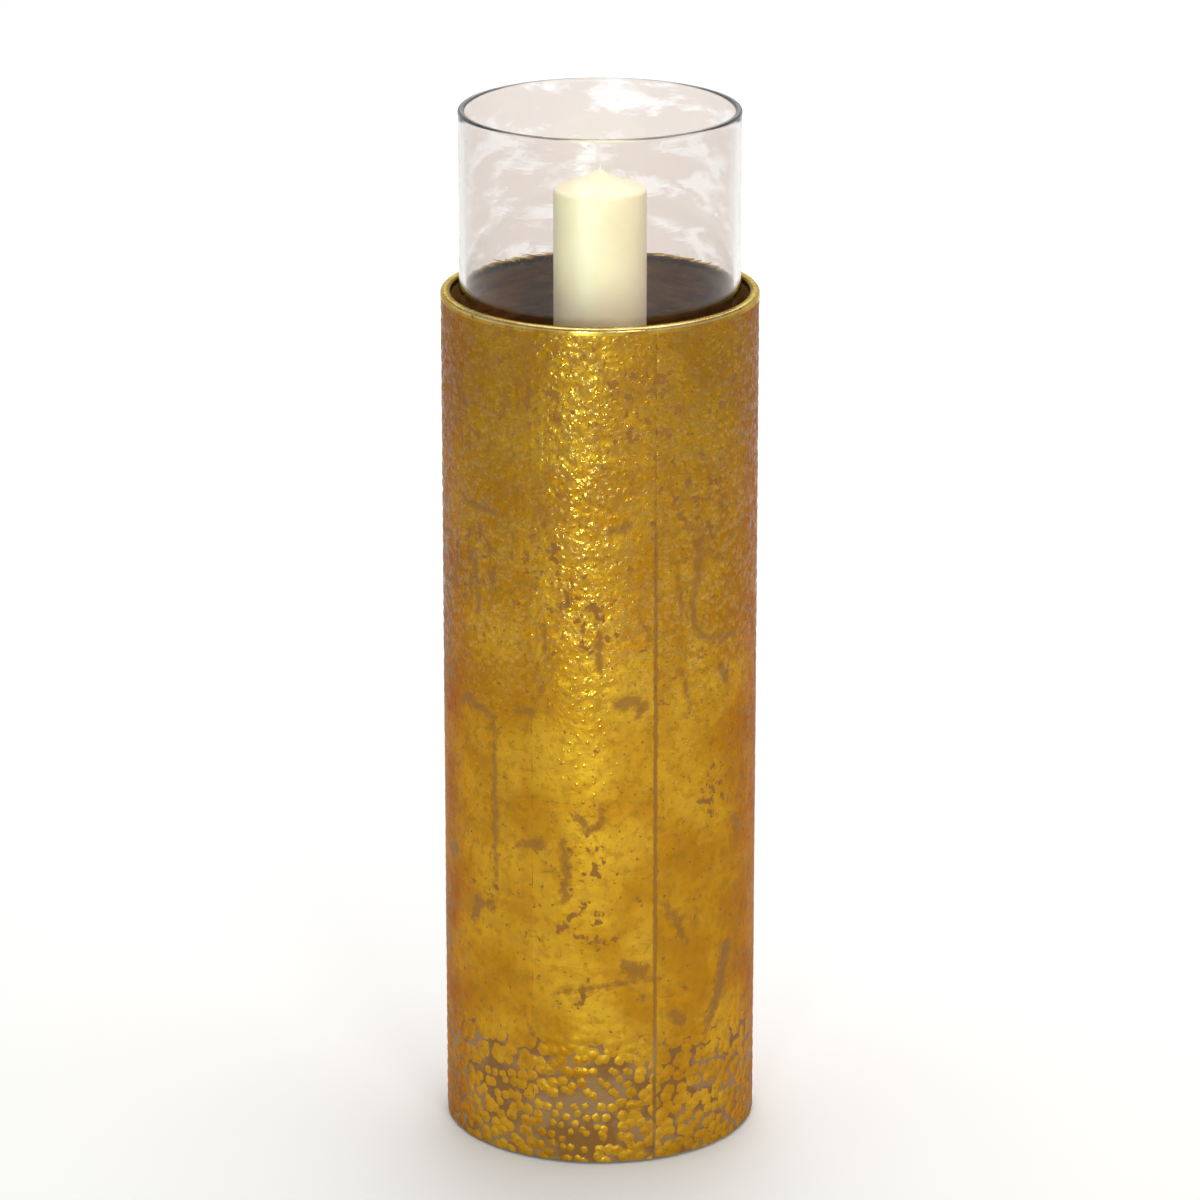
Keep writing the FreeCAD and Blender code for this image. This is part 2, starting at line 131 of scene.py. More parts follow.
def hammered_tube():
    """The tree that rolls a grid into a tube wall whose outside is raised in random bumps."""
    tree = bpy.data.node_groups.new("hammered_tube", "GeometryNodeTree")
    sizes = {
        "Radius": DRUM_RADIUS,
        "Height": DRUM_HEIGHT,
        "Bottom": DRUM_BOTTOM,
        "Sheet": SHEET,
        "Seam Azimuth": SEAM_AZIMUTH,
        "Seam Depth": SEAM_DEPTH,
        "Bump Pitch": BUMP_PITCH,
        "Bump Height": 0.00050,
        "Quiet Bump Height": 0.00020,
        "Hand Unevenness": 0.0003,
    }
    tree.interface.new_socket("Geometry", in_out="OUTPUT", socket_type="NodeSocketGeometry")
    for name in sizes:
        tree.interface.new_socket(name, in_out="INPUT", socket_type="NodeSocketFloat")
    given = add(tree, "NodeGroupInput").outputs

    # The grid's rows: inside bottom, the whole outside upwards, inside top, inside bottom again.
    girth = add(tree, MATH, (given["Radius"], 2 * math.pi), operation="MULTIPLY")
    row = add(tree, MATH, (given["Height"], ROWS), operation="DIVIDE")
    tall = add(tree, MATH, (row, ROWS + 3), operation="MULTIPLY")
    grid = add(
        tree,
        "GeometryNodeMeshGrid",
        {"Size X": girth, "Size Y": tall, "Vertices X": COLUMNS + 1, "Vertices Y": ROWS + 4},
    )
    at = add(tree, "ShaderNodeSeparateXYZ", {0: add(tree, "GeometryNodeInputPosition")})
    even_u = add(tree, MATH, (girth, 0.5, at.outputs["X"]), operation="MULTIPLY_ADD")
    v = add(tree, MATH, (tall, 0.5, at.outputs["Y"]), operation="MULTIPLY_ADD")
    v = add(tree, MATH, (v, row), operation="SUBTRACT")

    # Columns crowd towards the seam, so that its groove stays narrow.
    crowd = 0.012
    from_end = add(tree, MATH, (girth, even_u), operation="SUBTRACT")
    near = add(tree, MATH, (even_u, from_end), operation="MINIMUM")
    share = add(tree, RANGE, (near, 0.0, crowd))
    pulled = add(tree, MATH, (share, 1.6), operation="POWER")
    pulled = add(tree, MATH, (pulled, crowd), operation="MULTIPLY")
    beyond = add(tree, MATH, (near, crowd), operation="SUBTRACT")
    beyond = add(tree, MATH, (beyond, 0.0), operation="MAXIMUM")
    to_seam = add(tree, MATH, (pulled, beyond), operation="ADD")
    half_girth = add(tree, MATH, (girth, 0.5), operation="MULTIPLY")
    second_half = add(tree, MATH, (even_u, half_girth), operation="GREATER_THAN")
    flipped = add(tree, MATH, (girth, to_seam), operation="SUBTRACT")
    u = add(tree, MIX, {0: second_half, 2: to_seam, 3: flipped})

    # Bumps: crests at the cells' centres, valleys between them, quieter over the middle heights.
    flat = add(tree, "ShaderNodeCombineXYZ", {"X": u, "Y": v})
    scale = add(tree, MATH, (1.0, given["Bump Pitch"]), operation="DIVIDE")
    cells = add(
        tree,
        "ShaderNodeTexVoronoi",
        {"Vector": flat, "Scale": scale, "Randomness": BUMP_RANDOM},
        voronoi_dimensions="2D",
    ).outputs["Distance"]
    valley = add(tree, RANGE, (cells, 0.10, 0.66), **EASED)
    low_band = add(tree, RANGE, (v, 0.085, 0.125), **EASED)
    high_band = add(tree, RANGE, (v, 0.34, 0.39), **EASED)
    quiet = add(tree, MATH, (low_band, high_band), operation="SUBTRACT")
    bump_height = add(tree, MIX, {0: quiet, 2: given["Bump Height"], 3: given["Quiet Bump Height"]})
    uneven = add(
        tree, "ShaderNodeTexNoise", {"Vector": flat, "Scale": 9.0, "Detail": 2.0}, noise_dimensions="2D"
    )
    groove = add(tree, RANGE, (to_seam, 0.0, 0.0009, 1.0, 0.0), **EASED)
    sunk = add(tree, MATH, (valley, bump_height), operation="MULTIPLY")
    sunk = add(tree, MATH, (uneven, given["Hand Unevenness"], sunk), operation="MULTIPLY_ADD")
    sunk = add(tree, MATH, (groove, given["Seam Depth"], sunk), operation="MULTIPLY_ADD")
    outside_radius = add(tree, MATH, (given["Radius"], sunk), operation="SUBTRACT")

    # Rows off the outside face take the inner radius, and the last row returns to the bottom.
    half_row = add(tree, MATH, (row, 0.5), operation="MULTIPLY")
    top_edge = add(tree, MATH, (given["Height"], half_row), operation="ADD")
    above = add(tree, MATH, (v, top_edge), operation="GREATER_THAN")
    bottom_edge = add(tree, MATH, (half_row, -1.0), operation="MULTIPLY")
    below = add(tree, MATH, (v, bottom_edge), operation="LESS_THAN")
    inside = add(tree, MATH, (above, below), operation="MAXIMUM")
    last_edge = add(tree, MATH, (row, 1.5, given["Height"]), operation="MULTIPLY_ADD")
    last = add(tree, MATH, (v, last_edge), operation="GREATER_THAN")
    inner_radius = add(tree, MATH, (given["Radius"], given["Sheet"]), operation="SUBTRACT")
    radius = add(tree, MIX, {0: inside, 2: outside_radius, 3: inner_radius})
    climb = add(tree, MATH, (v, 0.0), operation="MAXIMUM")
    climb = add(tree, MATH, (climb, given["Height"]), operation="MINIMUM")
    not_last = add(tree, MATH, (1.0, last), operation="SUBTRACT")
    climb = add(tree, MATH, (climb, not_last), operation="MULTIPLY")
    height = add(tree, MATH, (climb, given["Bottom"]), operation="ADD")
    turn = add(tree, MATH, (u, given["Radius"]), operation="DIVIDE")
    turn = add(tree, MATH, (turn, given["Seam Azimuth"]), operation="ADD")
    x = add(tree, MATH, (turn,), operation="COSINE")
    x = add(tree, MATH, (radius, x), operation="MULTIPLY")
    y = add(tree, MATH, (turn,), operation="SINE")
    y = add(tree, MATH, (radius, y), operation="MULTIPLY")
    spot = add(tree, "ShaderNodeCombineXYZ", {"X": x, "Y": y, "Z": height})

    # The sheet's own flat coordinates, in metres from the seam and from the lower edge.
    mapped = add(
        tree,
        "GeometryNodeStoreNamedAttribute",
        {"Geometry": grid.outputs["Mesh"], "Name": "unrolled", "Value": flat},
        data_type="FLOAT2",
        domain="CORNER",
    )
    rolled = add(tree, "GeometryNodeSetPosition", {"Geometry": mapped, "Position": spot})
    closed = add(tree, "GeometryNodeMergeByDistance", {"Geometry": rolled, "Distance": 0.00001})
    angle = add(tree, "GeometryNodeInputMeshEdgeAngle").outputs["Unsigned Angle"]
    sharp = add(tree, MATH, (angle, 1.0), operation="GREATER_THAN")
    creased = add(
        tree,
        "GeometryNodeStoreNamedAttribute",
        {"Geometry": closed, "Name": "sharp_edge", "Value": sharp},
        data_type="BOOLEAN",
        domain="EDGE",
    )
    smooth = add(tree, "GeometryNodeSetShadeSmooth", {"Geometry": creased})
    end_tree(tree, smooth)
    return tree, sizes


def end_tree(tree, geometry):
    """Closes a tree: whole geometry, given its material by the node named coat."""
    whole = add(tree, "GeometryNodeRealizeInstances", {0: geometry})
    coated = add(tree, "GeometryNodeSetMaterial", {"Geometry": whole}, name="coat")
    add(tree, "NodeGroupOutput", (coated,))


def place_in_scene(name, data):
    """A new object with that data, put in the scene."""
    thing = bpy.data.objects.new(name, data)
    bpy.context.scene.collection.objects.link(thing)
    return thing


def grown(name, tree, sizes, material):
    """Runs a Geometry Nodes tree with its sizes and returns the result as a plain mesh object."""
    tree.nodes["coat"].inputs["Material"].default_value = material
    seed = place_in_scene(name + "_seed", bpy.data.meshes.new(name + "_seed"))
    modifier = seed.modifiers.new("growth", "NODES")
    modifier.node_group = tree
    for item in tree.interface.items_tree:
        if item.in_out == "INPUT" and item.name in sizes:
            modifier[item.identifier] = sizes[item.name]
    graph = bpy.context.evaluated_depsgraph_get()
    mesh = bpy.data.meshes.new_from_object(seed.evaluated_get(graph))
    bpy.data.objects.remove(seed)
    mesh.name = name
    return place_in_scene(name, mesh)


# The leaf's damage is laid down on the flat sheet. Arcs are in millimetres right of the seam as one
# faces it, and heights are over the sheet's lower edge. A stroke is a straight tear between two
# spots with a half-width at each; a rub is a round patch where bump tops alone kept their leaf.
STROKES = [
    (-131, 350, 1.2, -130, 305, 2.6),
    (-130, 305, 2.6, -130, 255, 2.2),
    (-130, 255, 2.2, -129, 214, 0.8),
    (-172, 352, 1.5, -160, 358, 3.4),
    (-160, 358, 3.4, -128, 350, 2.2),
    (-112, 360, 0.8, -96, 360, 3.4),
    (-28, 370, 4.2, -16, 372, 6.0),
    (-14, 360, 2.0, -10, 368, 4.0),
    (-44, 436, 1.6, -43, 400, 3.2),
    (-86, 430, 1.6, -82, 398, 1.6),
    (-94, 400, 1.0, -88, 378, 2.4),
    (-36, 505, 2.0, -22, 508, 4.0),
    (-12, 438, 1.2, -4, 420, 2.4),
    (24, 505, 0.8, 41, 498, 2.0),
    (41, 498, 2.4, 36, 470, 3.6),
    (36, 470, 3.0, 31, 432, 2.6),
    (31, 432, 2.4, 42, 414, 2.6),
    (42, 414, 2.6, 62, 408, 2.4),
    (62, 408, 2.4, 84, 409, 0.8),
    (44, 480, 1.0, 60, 473, 1.2),
    (17, 470, 0.9, 22, 440, 1.2),
    (22, 392, 1.6, 29, 362, 2.4),
    (58, 390, 1.4, 66, 378, 4.2),
    (-60, 282, 2.4, -52, 270, 3.4),
    (-52, 270, 3.4, -42, 276, 2.6),
    (-42, 276, 2.6, -41, 290, 1.6),
    (-72, 262, 1.6, -68, 240, 3.4),
    (-68, 240, 3.4, -70, 214, 3.0),
    (-108, 254, 2.2, -90, 256, 5.0),
    (-156, 182, 3.0, -148, 196, 6.5),
    (-140, 198, 2.6, -128, 202, 1.2),
    (-196, 226, 4.0, -186, 228, 7.0),
    (-76, 138, 1.2, -52, 143, 1.6),
    (-52, 143, 1.6, -14, 149, 1.8),
    (-22, 160, 5.5, -12, 156, 6.0),
    (-12, 150, 1.6, 4, 148, 1.2),
    (12, 200, 2.6, 28, 172, 1.6),
    (8, 208, 1.6, 22, 190, 2.4),
    (70, 158, 6.5, 60, 122, 6.0),
    (60, 122, 6.0, 46, 96, 1.6),
    (16, 116, 4.0, 22, 110, 4.6),
    (-104, 122, 0.7, -96, 98, 1.1),
    (-166, 514, 3.0, -128, 512, 3.0),
    (-150, 478, 2.4, -146, 430, 3.0),
    (-88, 520, 2.6, -84, 505, 1.4),
    (98, 340, 1.4, 112, 338, 2.0),
    (80, 262, 3.0, 84, 252, 3.4),
]
RUBS = [
    (-62, 30, 62, 0.95),
    (-36, 66, 34, 1.0),
    (-130, 52, 44, 0.80),
    (-100, 80, 26, 0.55),
    (-170, 62, 42, 0.55),
    (20, 66, 30, 0.42),
    (62, 50, 46, 0.50),
    (110, 70, 40, 0.45),
    (52, 292, 30, 0.50),
    (-58, 245, 34, 0.46),
    (-56, 190, 34, 0.50),
    (-56, 135, 30, 0.45),
    (-142, 210, 34, 0.32),
    (-88, 480, 40, 0.45),
    (-55, 440, 46, 0.50),
    (-150, 470, 52, 0.50),
    (40, 520, 50, 0.45),
    (-10, 600, 60, 0.42),
    (-100, 610, 60, 0.45),
    (70, 610, 44, 0.42),
    (-170, 590, 60, 0.50),
]
FRONT_ARC = (-190.0, 112.0)


def back_damage():
    """Strokes and rubs for the rest of the sheet, drawn from a fixed seed."""
    draw = np.random.default_rng(41)
    half = GIRTH * 500
    strokes, rubs = [], []
    while len(strokes) < 34:
        arc, height = draw.uniform(-half, half), draw.uniform(60, 600)
        lean, length = draw.normal(0, 0.5), draw.uniform(8, 44)
        if draw.random() < 0.5:
            lean += math.pi / 2
        wide, narrow = draw.uniform(1.4, 5.0), draw.uniform(0.7, 2.0)
        if FRONT_ARC[0] < arc < FRONT_ARC[1]:
            continue
        across, up = length * math.cos(lean), length * math.sin(lean)
        strokes.append((arc, height, wide, arc + across, height + up, narrow))
    while len(rubs) < 26:
        arc, height = draw.uniform(-half, half), draw.uniform(10, 640)
        size, amount = draw.uniform(26, 60), draw.uniform(0.35, 0.8)
        if not FRONT_ARC[0] < arc < FRONT_ARC[1]:
            rubs.append((arc, height, size, amount))
    return strokes, rubs


def spots_of(mesh):
    """The mesh's points as an array of x, y and z."""
    at = np.empty(len(mesh.vertices) * 3, np.float32)
    mesh.vertices.foreach_get("co", at)
    return at.reshape(-1, 3).astype(float)


def mark_damage(mesh):
    """Stores how far each point lies from a tear, in millimetres, and how much it is rubbed."""
    x, y, z = spots_of(mesh).T
    turn = (np.arctan2(y, x) - SEAM_AZIMUTH + math.pi) % (2 * math.pi) - math.pi
    arc, height = turn * DRUM_RADIUS * 1000, (z - DRUM_BOTTOM) * 1000
    more_strokes, more_rubs = back_damage()
    tear = np.full(len(arc), 12.0)
    girth = GIRTH * 1000
    for arc_a, height_a, wide_a, arc_b, height_b, wide_b in STROKES + more_strokes:
        along = np.array([arc_b - arc_a, height_b - height_a])
        offset = (arc - arc_a + girth / 2) % girth - girth / 2, height - height_a
        share = np.clip((offset[0] * along[0] + offset[1] * along[1]) / (along @ along), 0, 1)
        gap = np.hypot(offset[0] - share * along[0], offset[1] - share * along[1])
        tear = np.minimum(tear, gap - (wide_a + share * (wide_b - wide_a)))
    rubbed = 0.06 * np.clip((height - 350) / 40, 0, 1) + 0.50 * np.clip((104 - height) / 24, 0, 1)
    rubbed += 0.08
    for arc_c, height_c, size, amount in RUBS + more_rubs:
        gap = np.hypot((arc - arc_c + girth / 2) % girth - girth / 2, height - height_c) / size
        rubbed = np.maximum(rubbed, amount * np.clip(1.6 - 1.6 * gap, 0, 1))
    for name, values in (("tear", tear), ("rubbed", rubbed)):
        layer = mesh.attributes.new(name, "FLOAT", "POINT")
        layer.data.foreach_set("value", values.astype(np.float32))


LEAF_PITCH = 131.5
LEAF_LAP = 10.0
PIN_PITCH, PEBBLE_PITCH, BEAD_PITCH = 19.0, 5.4, 9.0


def gold_leaf_on_bole():
    """Brass leaf, mirror-like but crinkled and lacquered, over a mauve-brown painted ground."""
    material, tree, shader = new_finish(
        "brass_leaf_over_mauve_ground",
        {
            "Specular Tint": linear("#AC7420"),
            "Coat Roughness": 0.08,
            "Coat IOR": 1.5,
        },
    )
    sheet = add(tree, "ShaderNodeUVMap", uv_map="unrolled")
    flat = add(tree, "ShaderNodeVectorMath", {0: sheet, "Scale": 1000.0}, operation="SCALE")
    spread = add(tree, "ShaderNodeSeparateXYZ", {0: flat}).outputs

    # Flat noises by name: how many millimetres across, detail, roughness, and squeeze upwards.
    noise = {}
    for name, size, detail, roughness, squeeze in (
        ("lap edge", 14.0, 2.0, 0.55, 1.0),
        ("ragged", 6.0, 5.0, 0.62, 1.0),
        ("fine", 3.0, 3.0, 0.55, 1.0),
        ("patchy", 16.0, 4.0, 0.55, 1.0),
        ("blots", 11.0, 5.0, 0.6, 1.0),
        ("open lap", 22.0, 3.0, 0.55, 1.0),
        ("seam edge", 7.0, 4.0, 0.55, 1.0),
        ("flecks", 2.6, 2.0, 0.5, 0.8),
        ("haze", 15.0, 6.0, 0.72, 1.0),
        ("tone", 50.0, 4.0, 0.55, 1.0),
        ("mottle", 8.0, 5.0, 0.62, 1.0),
        ("ground", 9.0, 3.0, 0.55, 1.0),
        ("low ground", 34.0, 3.0, 0.55, 1.0),
        ("crinkles", 1.8, 3.0, 0.55, 1.0),
    ):
        placed = add(tree, "ShaderNodeMapping", {"Vector": flat, "Scale": (1.0, squeeze, 1.0)})
        values = {"Vector": placed, "Scale": 1 / size, "Detail": detail, "Roughness": roughness}
        noise[name] = add(tree, "ShaderNodeTexNoise", values, noise_dimensions="2D")

    # Fades by name: between two heights in millimetres, from one amount to another.
    fade = {}
    for name, low, high, start, end in (
        ("foot pebbles", 80, 110, 0.30, 0.0),
        ("above the foot", 80, 120, 0.8, 1.0),
        ("low down", 85, 120, 1.0, 0.0),
        ("above the net", 96, 128, 0.0, 1.0),
        ("beads", 200, 330, 0.0, 1.0),
        ("pebbles", 300, 450, 0.08, 0.50),
        ("smooth sheet", 300, 440, 0.43, 0.0),
        ("shine", 330, 440, 0.0, 1.0),
        ("haze", 330, 600, 0.40, 1.0),
        ("flecks", 350, 400, 0.0, 0.35),
        ("painted shade up top", 380, 640, 0.0, 0.5),
        ("seam line", 490, 530, 0.85, 0.1),
    ):
        fade[name] = add(tree, RANGE, (spread["Y"], low, high, start, end), **EASED)

    # Cells by name: where, how many millimetres across, and how irregular. The pebbles' flat
    # coordinates are pushed about, so that no two are alike.
    push = add(tree, "ShaderNodeTexNoise", {"Vector": flat, "Scale": 1 / 3.0}, noise_dimensions="2D")
    pushed = add(
        tree,
        "ShaderNodeVectorMath",
        {0: push.outputs["Color"], 1: (3.0, 3.0, 0.0), 2: flat},
        operation="MULTIPLY_ADD",
    )
    cells = {}
    for name, where, pitch, randomness in (
        ("bump", flat, BUMP_PITCH * 1000, BUMP_RANDOM),
        ("pin", flat, PIN_PITCH, 1.0),
        ("pebble", pushed, PEBBLE_PITCH, 1.0),
        ("bead", flat, BEAD_PITCH, 1.0),
    ):
        values = {"Vector": where, "Scale": 1 / pitch, "Randomness": randomness}
        cells[name] = add(tree, "ShaderNodeTexVoronoi", values, voronoi_dimensions="2D")

    # Which leaf a point lies on, and how near its edges.
    column = add(tree, MATH, (spread["X"], LEAF_PITCH), operation="DIVIDE")
    column_number = add(tree, MATH, (column,), operation="FLOOR")
    shifted = add(tree, MATH, (column_number, 47.0, spread["Y"]), operation="MULTIPLY_ADD")
    lifted = add(tree, MATH, (shifted, LEAF_PITCH), operation="DIVIDE")
    row_number = add(tree, MATH, (lifted,), operation="FLOOR")
    leaf = add(tree, "ShaderNodeCombineXYZ", {"X": column_number, "Y": row_number})
    leaf_tone = add(tree, "ShaderNodeTexWhiteNoise", {"Vector": leaf}, noise_dimensions="2D")
    in_column = add(tree, MATH, (column,), operation="FRACT")
    in_column = add(tree, MATH, (in_column, LEAF_PITCH), operation="MULTIPLY")
    in_row = add(tree, MATH, (lifted,), operation="FRACT")
    in_row = add(tree, MATH, (in_row, LEAF_PITCH), operation="MULTIPLY")
    wander = add(tree, MATH, (noise["lap edge"], 3.0, -1.5), operation="MULTIPLY_ADD")
    double = add(tree, MATH, (in_column, in_row), operation="MAXIMUM")
    double = add(tree, MATH, (double, wander), operation="ADD")
    double = add(tree, RANGE, (double, LEAF_PITCH - LEAF_LAP - 0.6, LEAF_PITCH - LEAF_LAP), **EASED)

    # Bare ground: torn strokes, rubbed valleys, pin holes, open leaf edges and the seam line.
    ragged = add(tree, MATH, (noise["ragged"], 12.0, -7.0), operation="MULTIPLY_ADD")
    tear = add(tree, "ShaderNodeAttribute", attribute_name="tear").outputs["Fac"]
    torn = add(tree, MATH, (tear, ragged), operation="ADD")
    torn = add(tree, RANGE, (torn, -3.4, 2.0, 1.0, 0.0), **EASED)
    reach = add(tree, MATH, (noise["fine"], 0.30, -0.15), operation="MULTIPLY_ADD")
    reach = add(tree, MATH, (cells["bump"], reach), operation="ADD")
    patchy = add(tree, MATH, (noise["patchy"], 0.9, -0.45), operation="MULTIPLY_ADD")
    worn = add(tree, "ShaderNodeAttribute", attribute_name="rubbed").outputs["Fac"]
    wear = add(tree, MATH, (worn, patchy), operation="ADD")
    keep = add(tree, RANGE, (wear, 0.0, 1.0, 0.86, 0.29))
    rubbed = add(tree, MATH, (reach, keep), operation="SUBTRACT")
    rubbed = add(tree, RANGE, (rubbed, -0.05, 0.05), **EASED)
    blots = add(tree, MATH, (worn, 0.34, noise["blots"]), operation="MULTIPLY_ADD")
    blots = add(tree, RANGE, (blots, 0.70, 0.76), **EASED)
    rubbed = add(tree, MIX, {0: fade["above the net"], 2: rubbed, 3: blots})
    pins = add(tree, MATH, (noise["fine"], 0.22, cells["pin"]), operation="MULTIPLY_ADD")
    pins = add(tree, RANGE, (pins, 0.125, 0.165, 1.0, 0.0), **EASED)
    open_side = add(tree, MATH, (noise["open lap"], 5.0, -2.9), operation="MULTIPLY_ADD")
    side_line = add(tree, MATH, (in_column, open_side), operation="SUBTRACT")
    side_line = add(tree, RANGE, (side_line, 0.1, 0.7, 1.0, 0.0), **EASED)
    row_line = add(tree, MATH, (in_row, open_side), operation="SUBTRACT")
    row_line = add(tree, RANGE, (row_line, -0.2, 0.4, 1.0, 0.0), **EASED)
    to_seam = add(tree, MATH, (GIRTH * 1000, spread["X"]), operation="SUBTRACT")
    to_seam = add(tree, MATH, (spread["X"], to_seam), operation="MINIMUM")
    seam_edge = add(tree, MATH, (noise["seam edge"], 3.0, 0.1), operation="MULTIPLY_ADD")
    seam_line = add(tree, MATH, (to_seam, seam_edge), operation="SUBTRACT")
    seam_line = add(tree, RANGE, (seam_line, -0.5, 0.6, 1.0, 0.0), **EASED)
    seam_line = add(tree, MATH, (seam_line, fade["seam line"]), operation="MULTIPLY")
    flecks = add(tree, RANGE, (noise["flecks"], 0.57, 0.64), **EASED)
    flecks = add(tree, MATH, (flecks, fade["flecks"]), operation="MULTIPLY")
    bare = add(tree, MATH, (torn, 0.82), operation="MULTIPLY")
    for more in (rubbed, pins, flecks, side_line, row_line, seam_line):
        bare = add(tree, MATH, (bare, more), operation="MAXIMUM")

    # Thin leaf lets the ground through as a haze, most of it on the upper half.
    haze = add(tree, RANGE, (noise["haze"], 0.40, 0.66), **EASED)
    haze = add(tree, MATH, (haze, fade["haze"]), operation="MULTIPLY")

    # Small uneven pebbles between the hammer's bumps, burnished on top, most of them higher up.
    lucky = add(tree, "ShaderNodeSeparateColor", {0: cells["pebble"].outputs["Color"]})
    top = add(tree, RANGE, (cells["pebble"], 0.40, 0.56, 1.0, 0.0), **EASED)
    lucky = add(tree, RANGE, (lucky, 0.30, 0.50), **EASED)
    top = add(tree, MATH, (top, lucky), operation="MULTIPLY")

    # Tiny domes raised by single taps, burnished bright, each catching a light as one point.
    bead = add(tree, RANGE, (cells["bead"], 0.0, 0.20, 1.0, 0.0), **EASED)
    bead = add(tree, MATH, (bead, fade["beads"]), operation="MULTIPLY")

    # Leaf colour: each square its own tone, double leaf deeper.
    tone = add(tree, MATH, (leaf_tone, 0.15, noise["tone"]), operation="MULTIPLY_ADD")
    tone = add(tree, RANGE, (tone, 0.35, 0.80), **EASED)
    leaf_colour = add(tree, MIX, {0: tone, 6: linear("#B67E12"), 7: linear("#D09E28")}, **COLOUR)
    double = add(tree, MATH, (double, 0.18), operation="MULTIPLY")
    leaf_colour = add(tree, MIX, {0: double, 6: leaf_colour, 7: linear("#C07812")}, **COLOUR)
    mottle = add(tree, RANGE, (noise["mottle"], 0.50, 0.66, 0.0, 0.45), **EASED)
    leaf_colour = add(tree, MIX, {0: mottle, 6: leaf_colour, 7: linear("#9C7010")}, **COLOUR)
    shine = add(tree, MATH, (top, fade["shine"]), operation="MULTIPLY")
    # Painted highlight: higher up, the burnished pebble tops are painted a paler brass so that their
    # glints read whiter; the same mask also thickens the lacquer there.
    pale = add(tree, MATH, (shine, 0.10), operation="MULTIPLY")
    leaf_colour = add(tree, MIX, {0: pale, 6: leaf_colour, 7: linear("#E2C478")}, **COLOUR)
    lacquer = add(tree, MATH, (shine, 0.22, 0.12), operation="MULTIPLY_ADD")
    ground = add(tree, MIX, {0: noise["ground"], 6: linear("#7E5420"), 7: linear("#986830")}, **COLOUR)
    low_ground = add(tree, RANGE, (noise["low ground"], 0.4, 0.6), **EASED)
    low_ground = add(tree, MIX, {0: low_ground, 6: linear("#80592E"), 7: linear("#91704C")}, **COLOUR)
    ground = add(tree, MIX, {0: fade["low down"], 6: ground, 7: low_ground}, **COLOUR)
    # Painted shade: from about 380 mm upwards the leaf is painted darker, standing in for the dimmer
    # surroundings that the upper drum reflects.
    leaf_colour = add(tree, MIX, {0: fade["painted shade up top"], 6: leaf_colour, 7: linear("#946A14")}, **COLOUR)
    veil = add(tree, MATH, (haze, 0.55), operation="MULTIPLY")
    veiled = add(tree, MIX, {0: veil, 6: leaf_colour, 7: linear("#8C642C")}, **COLOUR)
    colour = add(tree, MIX, {0: bare, 6: veiled, 7: ground}, **COLOUR)
    matt = add(tree, MATH, (haze, 0.50), operation="MULTIPLY")
    matt = add(tree, MATH, (bare, matt), operation="MAXIMUM")
    metallic = add(tree, RANGE, (matt, 0.0, 1.0, 1.0, 0.10))
    burnished = add(tree, RANGE, (top, 0.0, 0.9, 0.44, 0.08), **EASED)
    smooth_sheet = add(tree, MATH, (fade["smooth sheet"], fade["above the foot"]), operation="MULTIPLY")
    brushed = add(tree, MATH, (burnished, smooth_sheet), operation="MAXIMUM")
    bright = add(tree, RANGE, (bead, 0.0, 0.15, 1.0, 0.10), **EASED)
    brushed = add(tree, MATH, (brushed, bright), operation="MINIMUM")
    rough = add(tree, MIX, {0: matt, 2: brushed, 3: 0.75})

    # Relief too fine for the sheet's own shape: the pebbles, and leaf crinkles.
    pebbly = add(tree, MATH, (fade["pebbles"], fade["foot pebbles"]), operation="MAXIMUM")
    domes = add(tree, RANGE, (cells["pebble"], 0.0, 0.60, 1.0, 0.0), **EASED)
    knolls = add(tree, RANGE, (cells["bump"], 0.12, 0.55, 1.0, 0.0), **EASED)
    knoll_strength = add(tree, MATH, (fade["low down"], 0.4), operation="MULTIPLY")
    whole = add(tree, MATH, (1.0, bare), operation="SUBTRACT")
    relief = []
    for raised, strength, distance in (
        (domes, pebbly, 0.00055),
        (knolls, knoll_strength, 0.0007),
        (noise["crinkles"], 0.3, 0.0003),
        (bead, 1.0, 0.0002),
        (whole, 0.4, 0.00015),
    ):
        values = {"Height": raised, "Strength": strength, "Distance": distance}
        if relief:
            values["Normal"] = relief[-1]
        relief.append(add(tree, "ShaderNodeBump", values))
    feed(
        tree,
        shader,
        {
            "Base Color": colour,
            "Metallic": metallic,
            "Roughness": rough,
            "Coat Weight": lacquer,
            "Normal": relief[-1],
            "Coat Normal": relief[2],
        },
    )
    return material


gold_leaf = gold_leaf_on_bole()
tube_tree, tube_sizes = hammered_tube()
drum_shell = grown("hammered_drum", tube_tree, tube_sizes, gold_leaf)
mark_damage(drum_shell.data)
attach(drum_shell, "drum")
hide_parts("drum_shell")


# ================================================================ rim ring
# A solid steel ring welded over the sheet's top edge and dressed smooth, its corners rounded. The
# leaf runs over it unbroken, a little rubbed on the corners, so it carries one clean line of light.
def rounded_outline(corners, steps=6):
    """A closed outline of (radius, height) points, each corner (r, z, rounding) made an arc."""
    points = []
    for n, (r, z, rounding) in enumerate(corners):
        spot = np.array([r, z])
        before = np.array(corners[n - 1][:2]) - spot
        after = np.array(corners[(n + 1) % len(corners)][:2]) - spot
        if rounding == 0:
            points.append(spot)
            continue
        before, after = before / np.linalg.norm(before), after / np.linalg.norm(after)
        opening = math.acos(np.clip(before @ after, -1, 1))
        reach = rounding / math.tan(opening / 2)
        middle = (before + after) / np.linalg.norm(before + after)
        centre = spot + middle * rounding / math.sin(opening / 2)
        start, end = spot + before * reach - centre, spot + after * reach - centre
        sweep = math.pi - opening
        for k in range(steps + 1):
            share = k / steps
            arm = start * math.sin((1 - share) * sweep) + end * math.sin(share * sweep)
            points.append(centre + arm / math.sin(sweep))
    return np.array(points)


